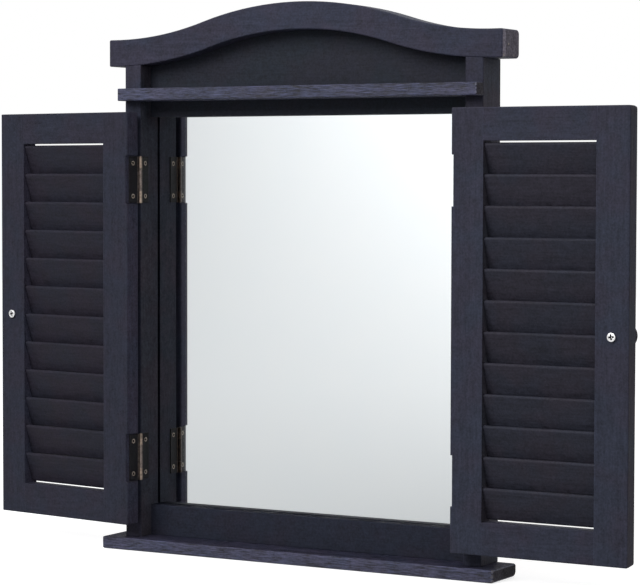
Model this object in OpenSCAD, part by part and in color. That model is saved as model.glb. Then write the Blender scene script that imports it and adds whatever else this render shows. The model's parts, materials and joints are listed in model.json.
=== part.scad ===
// A wall mirror in a wooden frame with an arched crown, a small ledge and a sill.
// Two louvred shutters hang on brass butt hinges between the posts and close over the mirror.
// X runs to the right, Y runs back to the wall and Z runs up. The origin is on the wall plane,
// midway between the two keyhole entries that the frame hangs by.

/* [Frame] */
// Width over the outsides of the two posts
frame_w = 388; // [348:4:468]
// Width of a post, seen from the front
post_w = 18; // [16:1:24]
// Depth of the posts and the crown
frame_d = 36; // [33:1:44]
// Depth from the posts' fronts back to the header and the bottom rail
rail_recess = 18; // [17:0.5:20]
// Clear height between the sill and the ledge, which the shutters close
opening_h = 427; // [380:1:520]
// Height of the bottom rail
bottom_rail_h = 30; // [26:1:44]
// Height of header that shows under the ledge
header_drop = 15; // [13:1:24]
// Height of the recessed panel's ends, between the ledge and the crown
frieze_h = 22; // [16:1:34]
// Length of the stub tenons that hold the rails in the posts
post_tenon = 8; // [6:0.5:9]
// Thickness of the rails' tenons
post_tenon_t = 8; // [5:0.5:9]

/* [Crown, ledge and sill] */
// Thickness of the crown, square to its curve
crown_h = 26; // [20:1:34]
// Height that the crown's middle rises above its ends
crown_rise = 31; // [20:1:42]
// Length that the crown and the sill reach past each post
end_over = 19; // [10:1:30]
// Length of the straight end of the crown
crown_flat = 10; // [5:1:12]
// Thickness of the ledge
ledge_t = 12; // [9:0.5:16]
// Length that the ledge stands out in front of the posts
ledge_proj = 14; // [9:1:20]
// Thickness of the sill
sill_t = 12; // [9:0.5:16]
// Length that the sill stands out in front of the posts
sill_proj = 14; // [9:1:20]
// Roundings of the crown: front edges, back edges, ends
crown_ease = [1.2, 4, 1.5];
// Roundings of the sill: front edges, back edges, ends
sill_ease = [1.2, 4, 3];
// Roundings of the ledge: front edges, back edges, ends
ledge_ease = [1.2, 0.3, 1.2];
// Roundings of the posts: front edges, back edges
post_ease = [0.8, 0.3];

/* [Mirror] */
// Thickness of the mirror glass
glass_t = 3; // [2:0.5:4]
// Width of the frame's rebate that the glass laps
glass_lap = 5; // [3:0.5:6]
// Gap between the edge of the glass and the rebate
glass_play = 0.5; // [0.2:0.1:1]
// Thickness of the back panel
panel_t = 3; // [2.5:0.5:4]
// Width of the rebate that the back panel laps
panel_lap = 12; // [11:0.5:13]

/* [Shutters] */
// Thickness of a shutter
shutter_t = 16.5; // [14:0.5:16.5]
// Width of the stiles
stile_w = 32; // [26:1:40]
// Height of the top and bottom rails
shutter_rail_h = 30; // [22:1:40]
// Gap between a closed shutter and the ledge
top_gap = 11; // [2:1:16]
// Gap between a closed shutter and the sill
bottom_gap = 14; // [2:1:20]
// Gap between a closed shutter and its post
hinge_gap = 1.5; // [1.2:0.1:2]
// Gap between the two closed shutters
meeting_gap = 1.5; // [1:0.1:3]
// Roundings of a shutter's outer edges
shutter_ease = [2.5, 1, 1.5];
// Length of the rails' tenons
tenon_l = 20; // [14:1:23]
// Thickness of those tenons
tenon_t = 6; // [4:0.5:8]
// Angle of the left shutter from closed
left_open = 189; // [0:1:189]
// Angle of the right shutter from closed
right_open = 179; // [0:1:189]

/* [Slats] */
// Number of slats in a shutter
slats = 12; // [8:1:12]
// Width of a slat along its slope
slat_w = 31; // [30:0.5:32.5]
// Thickness of a slat
slat_t = 4; // [3:0.5:4.5]
// Tilt of a slat from the vertical
slat_tilt = 19; // [14:1:20]
// Gap above the first slat and below the last
slat_end_gap = 1.6; // [1:0.1:3]
// Depth of the grooves that hold the slats' ends
groove_d = 5; // [3:0.5:8]
// Clearance around a slat in its groove
groove_play = 0.1; // [0.05:0.05:0.2]

/* [Hinges] */
// Length of a hinge
hinge_len = 45; // [40:1:56]
// Width of a leaf, from the pin's axis
leaf_w = 15; // [13:0.5:15.5]
// Thickness of the leaf sheet
leaf_t = 1; // [0.8:0.1:1.2]
// Diameter of the hinge pin
pin_d = 1.6; // [1.4:0.1:1.8]
// Clearance between the pin and the shutter leaf's knuckle
pin_play = 0.05; // [0.03:0.01:0.08]
// Gap between the knuckles of the two leaves
knuckle_gap = 0.2; // [0.1:0.05:0.4]
// Distance that the pin's axis stands in front of the posts
pin_forward = 3; // [2.6:0.1:3.4]
// Distance from a shutter's end to the middle of its hinge
hinge_inset = 65.5; // [50:0.5:90]
// Distance between a leaf's two screws
leaf_screw_pitch = 32; // [26:1:34]
// Distance from the pin's axis to the screws
leaf_screw_in = 9.7; // [8.5:0.1:10.5]
// Gap above and below a leaf in the stile's mortise
mortise_play = 0.8; // [0.2:0.1:1.5]
// Width of a knuckle's clearance cut in the other leaf
knuckle_clear = 0.4; // [0.3:0.1:0.6]

/* [Knobs] */
// Diameter of the knob
knob_d = 24; // [20:1:28]
// Height that the knob stands out from the shutter
knob_h = 16; // [14:0.5:16]
// Radius of the knob's rounded rim
knob_rim = 4; // [3:0.5:5]
// Height that the knob's face is domed above its rim
knob_dome = 1; // [0.6:0.1:1.6]
// Diameter of the knob's neck
knob_neck = 13; // [10:1:15]
// Depth of the screw in the knob
knob_screw_depth = 10; // [7:0.5:11]

/* [Hangers] */
// Distance between the two keyhole hangers
hanger_pitch = 220; // [160:5:240]
// Height of the crown's ends above the keyhole entries
hanger_drop = 15; // [14:1:18]
// Length of a hanger plate
hanger_l = 34; // [30:1:40]
// Width of a hanger plate
hanger_w = 16; // [14:0.5:20]
// Thickness of a hanger plate
hanger_t = 1.5; // [1:0.1:2]
// Radius of the keyhole's entry
keyhole_r = 4.5; // [4:0.1:5]
// Half the width of the keyhole's slot
slot_r = 2.2; // [1.8:0.1:2.6]
// Height that the slot rises above the entry's centre
slot_rise = 9; // [7:0.5:11]
// Depth of the pocket in front of the plate for the wall screw's head
pocket_d = 8; // [6:0.5:9]
// Clearance of the pocket around the keyhole
pocket_play = 0.5; // [0.3:0.1:1]
// Distance from a plate's ends to its screws
hanger_screw_in = 4; // [3.5:0.1:4.5]

/* [Hidden] */
$fn = 64;
past = 1;

half_w = frame_w / 2;
half_in = half_w - post_w;
post_x = half_w - post_w / 2;
rail_d = frame_d - rail_recess;

crown_z = hanger_drop;
ledge_z = crown_z - frieze_h - ledge_t;
sill_top = ledge_z - opening_h;
sill_z = sill_top - sill_t;
header_z = ledge_z - header_drop;
rail_top = sill_top + bottom_rail_h;

// The crown's centre line is two mirrored S-curves of equal arcs, which end level.
board_w = frame_w + 2 * end_over;
crown_run = board_w / 2 - crown_flat;
crown_r = (crown_run * crown_run + crown_rise * crown_rise) / (4 * crown_rise);
crown_a = 2 * atan(crown_rise / crown_run);
crown_mid = crown_z + crown_h / 2;
crown_top = crown_z + crown_h + crown_rise;
arc_lap = 0.02;
arch_z = crown_mid + crown_rise - crown_r;
foot_z = crown_mid + crown_r;

glass_y = -panel_t - glass_t;
glass_half = half_in + glass_lap;
panel_half = half_in + panel_lap;
panel_screw_lap = (glass_lap + panel_lap) / 2;

knuckle_r = leaf_t + pin_d / 2;
quarter = hinge_len / 4;
axis_x = half_in - knuckle_r;
axis_y = -frame_d - pin_forward;
shutter_z = sill_top + bottom_gap;
shutter_h = opening_h - top_gap - bottom_gap;
shutter_top = shutter_z + shutter_h;
shutter_u = hinge_gap - knuckle_r;
shutter_w = half_in - hinge_gap - meeting_gap / 2;
shutter_end = shutter_u + shutter_w;
inner_v = pin_forward + shutter_t;
middle_v = pin_forward + shutter_t / 2;
louvre_u = shutter_u + stile_w;
louvre_w = shutter_w - 2 * stile_w;
louvre_z = shutter_z + shutter_rail_h;
louvre_h = shutter_h - 2 * shutter_rail_h;
slat_rise = (slat_w - slat_t) * cos(slat_tilt) + slat_t;
slat_pitch = (louvre_h - 2 * slat_end_gap - slat_rise) / (slats - 1);
hinge_zs = [shutter_z + hinge_inset, shutter_top - hinge_inset];
knob_u = shutter_end - stile_w / 2;
knob_z = shutter_z + shutter_h / 2;

plate_z = (slot_rise - hanger_l) / 2;

// Screws: length, shank radius, head radius, head height
leaf_screw = [10, 1.2, 2.2, 1];
panel_screw = [11, 1.2, 2.2, 1];
hanger_screw = [12, 1.5, 2.9, 1.5];
ledge_screw = [28, 1.75, 3.5, 1.8];
sill_screw = [26, 1.75, 3.5, 1.8];
knob_screw = [shutter_t + knob_screw_depth, 2, 4.3, 2.6];
knob_screw_play = 0.2;
// Radius and height of the heads of a hinge pin
pin_head = [1.2, 0.4];
// Height that a tenon is set in from each edge of its rail
tenon_shoulder = 4;
dowel_r = 3;
dowel_l = 28;
dowel_ys = [-frame_d / 4, -frame_d * 3 / 4];
sill_post_x = half_w - post_w / 3;
sill_rail_xs = [-half_in / 2, half_in / 2];
ledge_screw_xs = [-half_in / 3, 0, half_in / 3];
panel_screw_xs = [-half_in * 0.6, 0, half_in * 0.6];
panel_screw_ks = [0.2, 0.5, 0.8];

paint = [0.2, 0.2, 0.26];
paint_light = [0.27, 0.28, 0.36];
paint_dark = [0.16, 0.16, 0.2];
brass = [0.5, 0.4, 0.26];
zinc = [0.8, 0.8, 0.8];
board = [0.42, 0.3, 0.2];
silver = [0.86, 0.9, 0.92];
wood = [0.74, 0.6, 0.42];

SIDES = ["left", "right"];
FRAME_NODES = [
    "left_post", "right_post", "crown", "crown_dowels", "header_panel", "ledge", "ledge_screws",
    "bottom_rail", "sill", "sill_screws", "mirror_glass", "back_panel", "back_panel_screws",
    "hanger_plates", "hanger_screws", "hinge_pins", "frame_leaf_screws"
];
SIDE_NODES = [
    "frame_leaves", "shutter_leaves", "shutter_leaf_screws", "hinge_stile", "free_stile",
    "shutter_top_rail", "shutter_bottom_rail", "knob", "knob_screw"
];

function slat_name(s, i) = str(s, "_slat_", i < 10 ? "0" : "", i);
function louvre_slat_z(i) =
    louvre_z + louvre_h - slat_end_gap - slat_rise / 2 - (i - 1) * slat_pitch;

// Shapes that repeat

// A rectangle whose corners on x = 0 have the radius r0 and those on x = w the radius r1
module eased_rect(w, h, r0, r1) {
    translate([r0, 0]) square([w - r0 - r1, h]);
    translate([0, r0]) square([2 * r0, h - 2 * r0]);
    translate([w - 2 * r1, r1]) square([2 * r1, h - 2 * r1]);
    for (z = [r0, h - r0]) translate([r0, z]) circle(r0);
    for (z = [r1, h - r1]) translate([w - r1, z]) circle(r1);
}

// The same with its x and y changed over, so that the radii belong to the lines of constant y
module turned_rect(w, h, r0, r1) {
    mirror([1, -1]) eased_rect(h, w, r0, r1);
}

// A board from its front left bottom corner, with ease = [front, back, ends]
module eased_board(size, ease) {
    intersection() {
        linear_extrude(size.z) turned_rect(size.x, size.y, ease[0], ease[1]);
        rotate([90, 0, 90]) linear_extrude(size.x) eased_rect(size.y, size.z, ease[0], ease[1]);
        translate([0, size.y, 0]) rotate([90, 0, 0])
            linear_extrude(size.y) eased_rect(size.x, size.z, ease[2], ease[2]);
    }
}

// A bar with two round edges, centred on the origin
module stadium(length, width) {
    straight = length - width;
    square([width, straight], center = true);
    for (end = [-1, 1]) translate([0, end * straight / 2]) circle(width / 2);
}

// A countersunk wood screw that points down from z = 0, and its hole
module wood_screw(size) {
    point = 2 * size[1];
    rotate_extrude() polygon([
        [0, -size[0]], [size[1] / 3, -size[0]], [size[1], point - size[0]],
        [size[1], -size[3]], [size[2], 0], [0, 0]
    ]);
}

// Turns what points down into what points forward, away from the wall
module forward() rotate([-90, 0, 0]) children();

// Puts what is drawn for the left side on the named side
module on_side(s) mirror([s == "right" ? 1 : 0, 0, 0]) children();

// Puts what is drawn about a hinge's axis, along a closed left shutter, at an angle on the named side
module on_hinge(s, angle) {
    on_side(s) translate([-axis_x, axis_y, 0]) rotate([0, 0, -angle]) children();
}

module on_shutter(s) on_hinge(s, s == "left" ? left_open : right_open) children();

// Crown

// All that lies under the crown's centre line, raised by d, down to the underside of the sill.
// The end circles are larger by arc_lap, so that they cross the middle arc and the straight ends.
module below_crown(d) {
    end_z = crown_mid + d;
    turn_x = (crown_r + d) * sin(crown_a);
    translate([-board_w, sill_z]) square([2 * board_w, end_z - sill_z]);
    difference() {
        translate([-crown_run, sill_z]) square([2 * crown_run, crown_top + past - sill_z]);
        difference() {
            translate([-turn_x, end_z]) square([2 * turn_x, crown_top + 2 * past - end_z]);
            translate([0, arch_z]) circle(crown_r + d);
        }
        for (side = [-1, 1]) translate([side * crown_run, foot_z]) circle(crown_r - d + arc_lap);
    }
}

module crown_outline() {
    intersection() {
        difference() {
            below_crown(crown_h / 2);
            below_crown(-crown_h / 2);
        }
        union() {
            translate([-crown_run, crown_z]) square([2 * crown_run, crown_top - crown_z]);
            for (side = [0, 1]) mirror([side, 0])
                translate([board_w / 2 - 2 * crown_flat, crown_z])
                    eased_rect(2 * crown_flat, crown_h, crown_ease[2], crown_ease[2]);
        }
    }
}

module crown() {
    color(paint) difference() {
        intersection() {
            rotate([90, 0, 0]) linear_extrude(frame_d, $fn = 240) crown_outline();
            translate([-board_w / 2, -frame_d, crown_z]) linear_extrude(crown_top - crown_z)
                turned_rect(board_w, frame_d, crown_ease[0], crown_ease[1]);
        }
        dowel_set();
    }
}

// The space that the crown's underside leaves
module under_crown() {
    translate([0, past, 0]) rotate([90, 0, 0])
        linear_extrude(frame_d + 2 * past, $fn = 240) below_crown(-crown_h / 2);
}

module dowel_set() {
    for (x = [-post_x, post_x], y = dowel_ys)
        translate([x, y, crown_z - dowel_l / 2]) cylinder(h = dowel_l, r = dowel_r);
}

module crown_dowels() color(wood) dowel_set();

// Frame

// The rebates at the back of the frame, for the glass and for its panel
module rebates() {
    translate([-glass_half, glass_y, rail_top - glass_lap])
        cube([2 * glass_half, past - glass_y, header_z - rail_top + 2 * glass_lap]);
    translate([-panel_half, -panel_t, rail_top - panel_lap])
        cube([2 * panel_half, past + panel_t, header_z - rail_top + 2 * panel_lap]);
}

// The stub tenons on both ends of a rail, between two heights
module post_tenons(z0, z1) {
    tenon_y = (glass_y - rail_d - post_tenon_t) / 2;
    for (s = SIDES) on_side(s)
        translate([-half_in - post_tenon, tenon_y, z0]) cube([post_tenon, post_tenon_t, z1 - z0]);
}

module header_tenons() post_tenons(header_z + tenon_shoulder, ledge_z + ledge_t);
module rail_tenons() post_tenons(sill_top + tenon_shoulder, rail_top - tenon_shoulder);

module panel_screw_set() {
    for (x = panel_screw_xs, z = [rail_top - panel_screw_lap, header_z + panel_screw_lap])
        translate([x, 0, z]) forward() wood_screw(panel_screw);
    for (x = [-half_in - panel_screw_lap, half_in + panel_screw_lap], k = panel_screw_ks)
        translate([x, 0, rail_top + k * (header_z - rail_top)]) forward() wood_screw(panel_screw);
}

module sill_screw_set() {
    for (x = [-sill_post_x, sill_post_x], y = dowel_ys)
        translate([x, y, sill_z]) rotate([180, 0, 0]) wood_screw(sill_screw);
    for (x = sill_rail_xs)
        translate([x, (glass_y - rail_d) / 2, sill_z]) rotate([180, 0, 0]) wood_screw(sill_screw);
}

module ledge_screw_set() {
    for (x = ledge_screw_xs)
        translate([x, 0, ledge_z + ledge_t / 2]) forward() wood_screw(ledge_screw);
}

module post() {
    color(paint) difference() {
        intersection() {
            translate([-half_w, -frame_d, sill_top]) linear_extrude(crown_top - sill_top)
                turned_rect(post_w, frame_d, post_ease[0], post_ease[1]);
            under_crown();
        }
        rebates();
        header_tenons();
        rail_tenons();
        dowel_set();
        panel_screw_set();
        sill_screw_set();
        on_hinge("left", 0) frame_leaf_screw_pair();
    }
}

module left_post() post();
module right_post() mirror([1, 0, 0]) post();

module header_panel() {
    color(paint_dark) difference() {
        union() {
            intersection() {
                translate([-half_in, -rail_d, header_z])
                    cube([2 * half_in, rail_d, crown_top - header_z]);
                under_crown();
            }
            header_tenons();
        }
        rebates();
        panel_screw_set();
        ledge_screw_set();
        for (s = SIDES) on_side(s) hanger_seat();
    }
}

module ledge() {
    depth = ledge_proj + rail_recess;
    color(paint_light) difference() {
        translate([-half_w, -frame_d - ledge_proj, ledge_z])
            eased_board([frame_w, depth, ledge_t], ledge_ease);
        for (s = SIDES) on_side(s)
            translate([-half_w - past, -frame_d, ledge_z - past])
                cube([post_w + past, rail_recess + past, ledge_t + 2 * past]);
        ledge_screw_set();
    }
}

module ledge_screws() color(zinc) ledge_screw_set();

module bottom_rail() {
    color(paint) difference() {
        union() {
            translate([-half_in, -rail_d, sill_top]) cube([2 * half_in, rail_d, bottom_rail_h]);
            rail_tenons();
        }
        rebates();
        panel_screw_set();
        sill_screw_set();
    }
}

module sill() {
    color(paint_light) difference() {
        translate([-board_w / 2, -frame_d - sill_proj, sill_z])
            eased_board([board_w, frame_d + sill_proj, sill_t], sill_ease);
        sill_screw_set();
    }
}

module sill_screws() color(zinc) sill_screw_set();

// Mirror

module mirror_glass() {
    half = glass_half - glass_play;
    low = rail_top - glass_lap + glass_play;
    high = header_z + glass_lap - glass_play;
    color(silver) translate([-half, glass_y, low]) cube([2 * half, glass_t, high - low]);
}

module back_panel() {
    half = panel_half - glass_play;
    low = rail_top - panel_lap + glass_play;
    high = header_z + panel_lap - glass_play;
    color(board) difference() {
        translate([-half, -panel_t, low]) cube([2 * half, panel_t, high - low]);
        panel_screw_set();
    }
}

module back_panel_screws() color(zinc) panel_screw_set();

// Hangers

// A keyhole seen from the back, for a round entry of radius r and a slot of half width w
module keyhole(r, w) {
    circle(r);
    translate([-w, 0]) square([2 * w, slot_rise]);
    translate([0, slot_rise]) circle(w);
}

// Draws a plan from its back, from a depth of y0 to a depth of y1 in front of the wall plane
module let_in(y0, y1) {
    translate([0, -y0, 0]) rotate([90, 0, 0]) linear_extrude(y1 - y0) children();
}

module plate_plan() translate([-hanger_w / 2, plate_z]) square([hanger_w, hanger_l]);

module at_hanger() translate([-hanger_pitch / 2, 0, 0]) children();

module hanger_screw_pair() {
    for (z = [plate_z + hanger_screw_in, plate_z + hanger_l - hanger_screw_in])
        at_hanger() translate([0, 0, z]) forward() wood_screw(hanger_screw);
}

module hanger_seat() {
    pocket_r = keyhole_r + pocket_play;
    at_hanger() {
        let_in(-past, hanger_t) plate_plan();
        let_in(-past, hanger_t + pocket_d) keyhole(pocket_r, pocket_r);
    }
    hanger_screw_pair();
}

module hanger_plates() {
    color(brass) for (s = SIDES) on_side(s) difference() {
        at_hanger() let_in(0, hanger_t) plate_plan();
        at_hanger() let_in(-past, hanger_t + past) keyhole(keyhole_r, slot_r);
        hanger_screw_pair();
    }
}

module hanger_screws() color(zinc) for (s = SIDES) on_side(s) hanger_screw_pair();

// Hinges, drawn about the pin's axis along a closed left shutter

module at_hinges() for (z = hinge_zs) translate([0, 0, z - hinge_len / 2]) children();

// A leaf's sheet, from u0, without its first stretch of width beside the other leaf's knuckles
module leaf_sheet(u0, notches) {
    difference() {
        translate([u0, 0, 0]) cube([leaf_t, leaf_w, hinge_len]);
        for (n = notches) translate([u0 - past, -past, n[0]])
            cube([leaf_t + 2 * past, knuckle_r + knuckle_clear + past, n[1] - n[0]]);
    }
}

module knuckles(spans) {
    for (k = spans) translate([0, 0, k[0]]) cylinder(h = k[1] - k[0], r = knuckle_r);
}

module pin_bore(r) translate([0, 0, -past]) cylinder(h = hinge_len + 2 * past, r = r);

module frame_leaf() {
    low = quarter - knuckle_gap / 2;
    high = hinge_len - low;
    difference() {
        union() {
            leaf_sheet(-knuckle_r, [[low, high]]);
            knuckles([[0, low], [high, hinge_len]]);
        }
        pin_bore(pin_d / 2);
    }
}

module shutter_leaf() {
    low = quarter + knuckle_gap / 2;
    high = hinge_len - low;
    difference() {
        union() {
            leaf_sheet(knuckle_r - leaf_t, [[-past, low], [high, hinge_len + past]]);
            knuckles([[low, high]]);
        }
        pin_bore(pin_d / 2 + pin_play);
    }
}

module leaf_screw_pair(u, turn) {
    for (side = [-1, 1]) translate([u, leaf_screw_in, hinge_len / 2 + side * leaf_screw_pitch / 2])
        rotate([0, turn, 0]) wood_screw(leaf_screw);
}

module frame_leaf_screw_pair() at_hinges() leaf_screw_pair(leaf_t - knuckle_r, 90);
module shutter_leaf_screw_pair() at_hinges() leaf_screw_pair(knuckle_r - leaf_t, -90);

module frame_leaves(s) {
    color(brass) on_hinge(s, 0) difference() {
        at_hinges() frame_leaf();
        frame_leaf_screw_pair();
    }
}

module shutter_leaves(s) {
    color(brass) on_shutter(s) difference() {
        at_hinges() shutter_leaf();
        shutter_leaf_screw_pair();
    }
}

module hinge_pin() {
    cylinder(h = hinge_len, r = pin_d / 2);
    for (z = [-pin_head[1], hinge_len]) translate([0, 0, z]) cylinder(h = pin_head[1], r = pin_head[0]);
}

module hinge_pins() color(brass) for (s = SIDES) on_hinge(s, 0) at_hinges() hinge_pin();
module frame_leaf_screws() color(brass) for (s = SIDES) on_hinge(s, 0) frame_leaf_screw_pair();
module shutter_leaf_screws(s) color(brass) on_shutter(s) shutter_leaf_screw_pair();

// Shutters, drawn in the same way

// The whole shutter's eased outline between two places along it and two heights
module shutter_cut(u0, u1, z0, z1) {
    intersection() {
        translate([shutter_u, pin_forward, shutter_z])
            eased_board([shutter_w, shutter_t, shutter_h], shutter_ease);
        translate([u0, 0, z0]) cube([u1 - u0, inner_v + past, z1 - z0]);
    }
}

// The tenons on both ends of a shutter rail that starts at a height
module shutter_tenons(z0) {
    for (u = [louvre_u - tenon_l, louvre_u + louvre_w])
        translate([u, middle_v - tenon_t / 2, z0 + tenon_shoulder])
            cube([tenon_l, tenon_t, shutter_rail_h - 2 * tenon_shoulder]);
}

// A slat's solid, or with some play its two grooves
module slat_bar(i, play) {
    translate([louvre_u - groove_d, middle_v, louvre_slat_z(i)]) rotate([90, 0, 90])
        linear_extrude(louvre_w + 2 * groove_d) rotate(-slat_tilt)
            stadium(slat_w + 2 * play, slat_t + 2 * play);
}

// What both stiles lose to the rails and the slats
module stile_joints() {
    shutter_tenons(shutter_z);
    shutter_tenons(louvre_z + louvre_h);
    for (i = [1:slats]) slat_bar(i, groove_play);
}

module mortises() {
    at_hinges() translate([shutter_u - past, 0, -mortise_play])
        cube([knuckle_r - shutter_u + past, inner_v + past, hinge_len + 2 * mortise_play]);
}

module hinge_stile() {
    difference() {
        shutter_cut(shutter_u - past, louvre_u, shutter_z - past, shutter_top + past);
        stile_joints();
        mortises();
        shutter_leaf_screw_pair();
    }
}

module free_stile() {
    difference() {
        shutter_cut(louvre_u + louvre_w, shutter_end + past, shutter_z - past, shutter_top + past);
        stile_joints();
        at_knob() cylinder(h = 3 * shutter_t, r = knob_screw[1] + knob_screw_play, center = true);
    }
}

module shutter_rail(z0) {
    shutter_cut(louvre_u, louvre_u + louvre_w, z0, z0 + shutter_rail_h);
    shutter_tenons(z0);
}

// Knobs

// Turns z to point out of the shutter's outer face at the knob
module at_knob() translate([knob_u, pin_forward, knob_z]) rotate([90, 0, 0]) children();

// Half of the knob's outline: neck, rounded rim and domed face
module knob_outline() {
    rim_x = knob_d / 2 - knob_rim;
    drop = knob_rim + knob_dome;
    rim_z = knob_h - drop;
    dome_r = (rim_x * rim_x + drop * drop - knob_rim * knob_rim) / (2 * knob_dome);
    reach = rim_x * dome_r / (dome_r - knob_rim);
    square([knob_neck / 2, rim_z]);
    translate([0, rim_z - knob_rim]) square([rim_x, knob_rim]);
    translate([rim_x, rim_z]) circle(knob_rim);
    intersection() {
        translate([0, knob_h - dome_r]) circle(dome_r);
        translate([0, rim_z]) square([reach, knob_rim + drop]);
    }
}

module knob() {
    difference() {
        rotate_extrude($fn = 96) knob_outline();
        translate([0, 0, -past]) cylinder(h = knob_screw_depth + past, r = knob_screw[1]);
    }
}

// A pan head with a crossed recess, on a shank that ends in the knob
module knob_screw_solid() {
    head_r = knob_screw[2];
    head_h = knob_screw[3];
    dome_h = head_h / 2;
    dome_r = (head_r * head_r + dome_h * dome_h) / (2 * dome_h);
    cross_w = head_r / 4;
    translate([0, 0, -knob_screw[0]]) cylinder(h = knob_screw[0], r = knob_screw[1]);
    difference() {
        intersection() {
            cylinder(h = head_h, r = head_r);
            translate([0, 0, head_h - dome_r]) sphere(dome_r);
        }
        for (turn = [45, 135]) rotate([0, 0, turn]) translate([0, 0, head_h])
            cube([head_r, cross_w, head_h], center = true);
    }
}

module at_knob_screw() translate([knob_u, inner_v, knob_z]) rotate([-90, 0, 0]) children();

left_post();
right_post();
crown();
crown_dowels();
header_panel();
ledge();
ledge_screws();
bottom_rail();
sill();
sill_screws();
mirror_glass();
back_panel();
back_panel_screws();
hanger_plates();
hanger_screws();
hinge_pins();
frame_leaf_screws();
for (s = SIDES) {
    frame_leaves(s);
    shutter_leaves(s);
    shutter_leaf_screws(s);
    color(paint) on_shutter(s) hinge_stile();
    color(paint) on_shutter(s) free_stile();
    color(paint) on_shutter(s) shutter_rail(louvre_z + louvre_h);
    color(paint) on_shutter(s) shutter_rail(shutter_z);
    color(paint_dark) on_shutter(s) at_knob() knob();
    color(zinc) on_shutter(s) at_knob_screw() knob_screw_solid();
    for (i = [1:slats])
        color(paint_dark) on_shutter(s) slat_bar(i, 0);
}
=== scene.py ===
# Shutter mirror: finishes, screws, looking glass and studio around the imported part.
# Metres, +Z up, the wall plane at y = 0 and the viewer on the -Y side.
import json
import math

import bmesh
import bpy
import numpy as np
from mathutils import Matrix, Vector
from mathutils.bvhtree import BVHTree


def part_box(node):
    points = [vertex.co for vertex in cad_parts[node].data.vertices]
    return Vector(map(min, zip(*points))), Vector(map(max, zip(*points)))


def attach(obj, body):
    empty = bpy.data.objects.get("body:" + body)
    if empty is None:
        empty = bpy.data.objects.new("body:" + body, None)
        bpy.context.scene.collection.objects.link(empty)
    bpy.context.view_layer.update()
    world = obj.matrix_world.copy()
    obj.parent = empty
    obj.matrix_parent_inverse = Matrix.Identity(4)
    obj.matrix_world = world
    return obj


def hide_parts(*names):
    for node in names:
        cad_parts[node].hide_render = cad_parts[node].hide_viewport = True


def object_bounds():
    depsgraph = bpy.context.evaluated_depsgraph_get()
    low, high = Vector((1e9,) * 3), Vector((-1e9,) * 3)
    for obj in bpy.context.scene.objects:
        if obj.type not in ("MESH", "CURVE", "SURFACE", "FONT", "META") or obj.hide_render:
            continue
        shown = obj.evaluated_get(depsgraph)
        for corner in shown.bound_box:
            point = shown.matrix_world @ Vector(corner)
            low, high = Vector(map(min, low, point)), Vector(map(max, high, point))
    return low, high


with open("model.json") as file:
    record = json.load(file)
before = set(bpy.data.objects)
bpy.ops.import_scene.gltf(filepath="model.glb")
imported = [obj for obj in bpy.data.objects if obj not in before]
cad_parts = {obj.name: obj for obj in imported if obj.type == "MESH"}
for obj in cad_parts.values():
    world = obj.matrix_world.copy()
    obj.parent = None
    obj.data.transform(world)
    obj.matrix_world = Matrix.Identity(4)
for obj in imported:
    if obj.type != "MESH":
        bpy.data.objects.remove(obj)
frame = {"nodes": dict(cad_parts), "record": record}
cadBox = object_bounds()
nodes = frame["nodes"]
slotOf = {row["node"]: row["material_slot"] for row in frame["record"]["subparts"]}
bodies = frame["record"]["behaviour"]["bodies"]
bodyOf = {name: body for body, names in bodies.items() for name in names}
scene = bpy.context.scene
print("frame loaded:", len(nodes), "nodes")


def newObject(name, data):
    piece = bpy.data.objects.new(name, data)
    scene.collection.objects.link(piece)
    return piece


# The camera, as it was worked out from the photograph's straight edges.

cameraFit = {
    "place": (1.1612, -2.0329, -0.0939),
    "yaw": 29.6,  # degrees, turned towards the left
    "pitch": 2.73,  # degrees, looking down
    "roll": 0.12,
    "lens": 137.99,  # mm
    "sensor": 36.0,  # mm
    "shift": (-1.2 / 640, 2.9 / 640),  # pixels of a picture 640 wide
    "clip": (0.05, 50.0),
}


def buildCamera(fit):
    yaw, pitch, roll = (math.radians(fit[key]) for key in ("yaw", "pitch", "roll"))
    level = Vector((-math.sin(yaw), math.cos(yaw), 0.0))
    ahead = level * math.cos(pitch) - Vector((0.0, 0.0, math.sin(pitch)))
    right = Vector((math.cos(yaw), math.sin(yaw), 0.0))
    up = right.cross(ahead)
    rolledRight = math.cos(roll) * right + math.sin(roll) * up
    rolledUp = -math.sin(roll) * right + math.cos(roll) * up
    data = bpy.data.cameras.new("camera")
    data.lens = fit["lens"]
    data.sensor_width = fit["sensor"]
    data.sensor_fit = "HORIZONTAL"
    data.shift_x, data.shift_y = fit["shift"]
    data.clip_start, data.clip_end = fit["clip"]
    camera = newObject("camera", data)
    turn = Matrix((rolledRight, rolledUp, -ahead)).transposed()
    camera.matrix_world = Matrix.Translation(fit["place"]) @ turn.to_4x4()
    scene.camera = camera


buildCamera(cameraFit)
print("camera placed")


# Helpers for wiring node trees. A value is a number, a tuple or another node's socket.

def linear(channel):
    # a screen value from 0 to 255, made linear
    return channel / 255 / 12.92 if channel <= 10 else ((channel / 255 + 0.055) / 1.055) ** 2.4


def rgb(red, green, blue):
    return (linear(red), linear(green), linear(blue), 1.0)


def shaded(tone, share):
    return rgb(*[channel * share for channel in tone])


def feed(tree, node, inputs):
    for name, value in inputs.items():
        socket = node.inputs[name]
        if isinstance(value, bpy.types.NodeSocket):
            tree.links.new(value, socket)
        else:
            socket.default_value = value


def add(tree, kind, inputs=None, **settings):
    node = tree.nodes.new(kind)
    for name, value in settings.items():
        setattr(node, name, value)
    feed(tree, node, inputs or {})
    return node


def sums(tree, operation, a, b=0.0, clamp=False):
    return add(tree, "ShaderNodeMath", {0: a, 1: b}, operation=operation, use_clamp=clamp).outputs[0]


def plus(tree, a, b):
    return sums(tree, "ADD", a, b)


def minus(tree, a, b):
    return sums(tree, "SUBTRACT", a, b)


def times(tree, a, b):
    return sums(tree, "MULTIPLY", a, b)


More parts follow.
